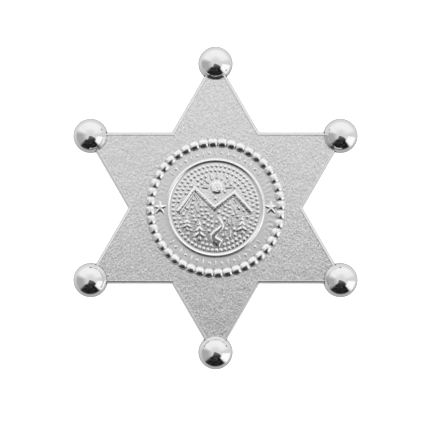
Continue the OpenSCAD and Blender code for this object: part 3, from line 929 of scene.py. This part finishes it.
def pin_catch(finish):
    """The catch: a C-shaped section with rounded lips, open on one side, carried along the wire, on
    a short post."""
    inner_r, middle_r, half_wall = CATCH_R - CATCH_WALL, CATCH_R - CATCH_WALL / 2, CATCH_WALL / 2
    turn = np.linspace(CATCH_OPEN, 360 - CATCH_OPEN, 41)
    lip = np.linspace(0, 180, 7)[1:-1]

    def circle(radius, angle):
        """Points of a circle, as (sideways, up)."""
        return radius * np.stack([cos(angle), sin(angle)], axis=1)

    last, first = (circle(middle_r, np.full(len(lip), angle)) for angle in (turn[-1], turn[0]))
    loop = np.vstack([circle(CATCH_R, turn), last + circle(half_wall, turn[-1] + lip),
                      circle(inner_r, turn[::-1]), first + circle(half_wall, turn[0] + 180 + lip)])
    centre = np.vstack([circle(middle_r, turn), last, circle(middle_r, turn[::-1]), first])
    along = np.array([-1.0, -1.0, -0.97, 0.97, 1.0, 1.0])[:, None] * CATCH_LEN / 2
    grow = np.array([0.0, 0.7, 1.0, 1.0, 0.7, 0.0])[:, None, None]
    section = centre + grow * (loop - centre)
    tube = stack(CATCH_X + along, PIN_Y + section[..., 0], WIRE_Z + section[..., 1])
    foot = post(CATCH_X, PIN_Y, WIRE_Z + 0.62, POST_TOP_Z, 0.88, 0.42, 0.06)
    return make_piece("pin_catch", [(tube, False, True, {}), foot],
                      "pin_back", finish)


field_finish = field_nickel()
star_plate(field_finish)
ball_finish = ball_nickel()
for number in range(1, BALLS + 1):
    ball_tip(number, ball_finish)
bead_ring(bead_nickel())
medallion_finish = medallion_nickel()
medallion_disc(medallion_finish)
band_stars(medallion_finish)
band_bars(medallion_finish)
pin_finish = pin_steel()
pin_bar(pin_finish)
pin_joint(pin_finish)
pin_wire(pin_finish)
pin_catch(pin_finish)


# Stage, light and camera

def pale_floor():
    """A round pale floor that glows a little, so that soft shadows stay light. It is clear from
    below."""
    turn = 360 * np.arange(FLOOR_SIDES) / FLOOR_SIDES
    points = stack(FLOOR_R * cos(turn), FLOOR_R * sin(turn), 0) * MM
    mesh = bpy.data.meshes.new("floor")
    mesh.from_pydata(points.tolist(), [], [list(range(FLOOR_SIDES))])
    paint = bpy.data.materials.new("floor paint")
    paint.use_nodes = True
    tree = paint.node_tree
    shader = tree.nodes["Principled BSDF"]
    shader.inputs["Base Color"].default_value = (0.9, 0.9, 0.9, 1)
    shader.inputs["Roughness"].default_value = 1.0
    shader.inputs["Specular IOR Level"].default_value = 0.0
    shader.inputs["Emission Color"].default_value = (1, 1, 1, 1)
    shader.inputs["Emission Strength"].default_value = 0.7
    below = add_node(tree, "ShaderNodeNewGeometry", out=6)
    clear = add_node(tree, "ShaderNodeBsdfTransparent")
    both = add_node(tree, "ShaderNodeMixShader", {0: below, 1: shader.outputs[0], 2: clear})
    tree.links.new(both, tree.nodes["Material Output"].inputs["Surface"])
    mesh.materials.append(paint)
    floor = bpy.data.objects.new("floor", mesh)
    floor.visible_glossy = False
    bpy.context.scene.collection.objects.link(floor)


def studio():
    """Soft light from all round: a wide white back wall with a brighter panel, a white window to
    the right, a dark stand in front, pale walls and a pale floor. down is the angle from straight
    up, and round_ is the bearing from +Y, more than 0 towards +X. front is the bearing from -Y,
    more than 0 towards -X, and the stand's bearings are measured by it."""
    world = bpy.data.worlds.new("studio")
    world.use_nodes = True
    bpy.context.scene.world = world
    tree = world.node_tree
    way = add_node(tree, "ShaderNodeTexCoord", out=0)
    split = tree.nodes.new("ShaderNodeSeparateXYZ")
    tree.links.new(way, split.inputs[0])
    x, y, z = split.outputs
    down = calc(tree, "DEGREES", calc(tree, "ARCCOSINE", z))
    round_ = calc(tree, "DEGREES", calc(tree, "ARCTAN2", x, y))
    front = calc(tree, "WRAP", calc(tree, "ADD", round_, 180.0), 180.0, -180.0)
    off_front = calc(tree, "ABSOLUTE", front)

    walls = mix(tree, ease(tree, round_, 0.0, 90.0), SKY_LEFT, SKY_RIGHT)
    walls = mix(tree, between(tree, round_, *SKY_BACK_ROUND), walls, SKY_BACK)
    value = mix(tree, ease(tree, down, 12.0, 60.0), SKY_TOP, walls)
    ground = mix(tree, ease(tree, off_front, 20.0, 120.0), GROUND_FRONT, GROUND_BACK)
    value = mix(tree, ease(tree, down, 94.0, 116.0), value, ground)
    value = mix(tree, ease(tree, down, 130.0, 158.0), value, GROUND_BELOW)
    streaks = add_node(tree, "ShaderNodeTexNoise",
                       {"Vector": way, "Scale": 5.0, "Detail": 3.0, "Distortion": 0.8})
    cloth = ease(tree, streaks, 0.45, 0.75, CLOTH_DARK, CLOTH_LIGHT)
    for down_angles, bearing, round_angles, bright in (
            (SKY_PANEL_DOWN, round_, SKY_PANEL_ROUND, SKY_PANEL),
            (SKY_WINDOW_DOWN, round_, SKY_WINDOW_ROUND, SKY_WINDOW),
            (STAND_DOWN, front, STAND_ROUND, cloth)):
        cover = calc(tree, "MULTIPLY", between(tree, down, *down_angles),
                     between(tree, bearing, *round_angles))
        value = mix(tree, cover, value, bright)

    background = tree.nodes["Background"]
    tree.links.new(value, background.inputs["Color"])
    plain = add_node(tree, "ShaderNodeBackground", {"Color": (1, 1, 1, 1), "Strength": 1.0})
    seen = add_node(tree, "ShaderNodeLightPath", out=0)
    both = add_node(tree, "ShaderNodeMixShader", {0: seen, 1: background.outputs[0], 2: plain})
    tree.links.new(both, tree.nodes["World Output"].inputs["Surface"])


def dark_stand():
    """The near end of the dark stand, over the badge: a flat sheet whose edges lie to both sides of
    a line towards -Y and fade out. Only the metal mirrors it, and it casts no shadow."""
    far = np.linspace(0, 1, 41)[:, None]
    share = np.linspace(-1, 1, 31)
    y = STAND_NEAR_Y - (STAND_NEAR_Y + STAND_FAR) * far
    left, right = np.interp(-y, STAND_Y, STAND_LEFT), np.interp(-y, STAND_Y, STAND_RIGHT)
    x = (right - left) / 2 + share * (right + left) / 2 * STAND_WIDER
    cover = smooth(1 - np.abs(share), 0, STAND_SIDE_FADE)
    cover = cover * smooth(STAND_NEAR_Y - y, 0, STAND_NEAR_FADE)
    tone = STAND_NEAR_TONE + (STAND_FAR_TONE - STAND_NEAR_TONE) * smooth(-y, 40, 240)
    mesh = bpy.data.meshes.new("stand_sheet")
    fill_mesh(mesh, [(stack(x, y, STAND_Z), False, False, {"cover": cover, "tone": tone})])
    cloth = bpy.data.materials.new("stand cloth")
    cloth.use_nodes = True
    tree = cloth.node_tree
    glow = add_node(tree, "ShaderNodeEmission", {"Color": mark(tree, "tone")})
    clear = add_node(tree, "ShaderNodeBsdfTransparent")
    both = add_node(tree, "ShaderNodeMixShader", {0: mark(tree, "cover"), 1: clear, 2: glow})
    tree.links.new(both, tree.nodes["Material Output"].inputs["Surface"])
    mesh.materials.append(cloth)
    sheet = bpy.data.objects.new("stand_sheet", mesh)
    for sort in ("camera", "diffuse", "transmission", "volume_scatter", "shadow"):
        setattr(sheet, f"visible_{sort}", False)
    bpy.context.scene.collection.objects.link(sheet)


def lamp(name, place, size, power):
    """A square soft lamp that points straight down and isn't mirrored by the metal."""
    data = bpy.data.lights.new(name, "AREA")
    data.size, data.energy = size, power
    made = bpy.data.objects.new(name, data)
    made.location = place
    made.visible_glossy = False
    made.visible_camera = False
    bpy.context.scene.collection.objects.link(made)


def overhead_camera():
    """The camera looks straight down, and its frame is CAMERA_FRAME_W wide at the height of the
    balls' middles."""
    data = bpy.data.cameras.new("camera")
    data.sensor_width = CAMERA_SENSOR
    data.lens = CAMERA_SENSOR * (CAMERA_PLACE[2] - BALL_Z) / CAMERA_FRAME_W
    data.clip_start, data.clip_end = 0.01, 10
    made = bpy.data.objects.new("camera", data)
    made.location = [c * MM for c in CAMERA_PLACE]
    bpy.context.scene.collection.objects.link(made)
    bpy.context.scene.camera = made


pale_floor()
studio()
dark_stand()
lamp("overhead lamp", (0, 0, 0.9), 0.8, 6.0)
overhead_camera()
bpy.context.scene.view_settings.view_transform = "Standard"
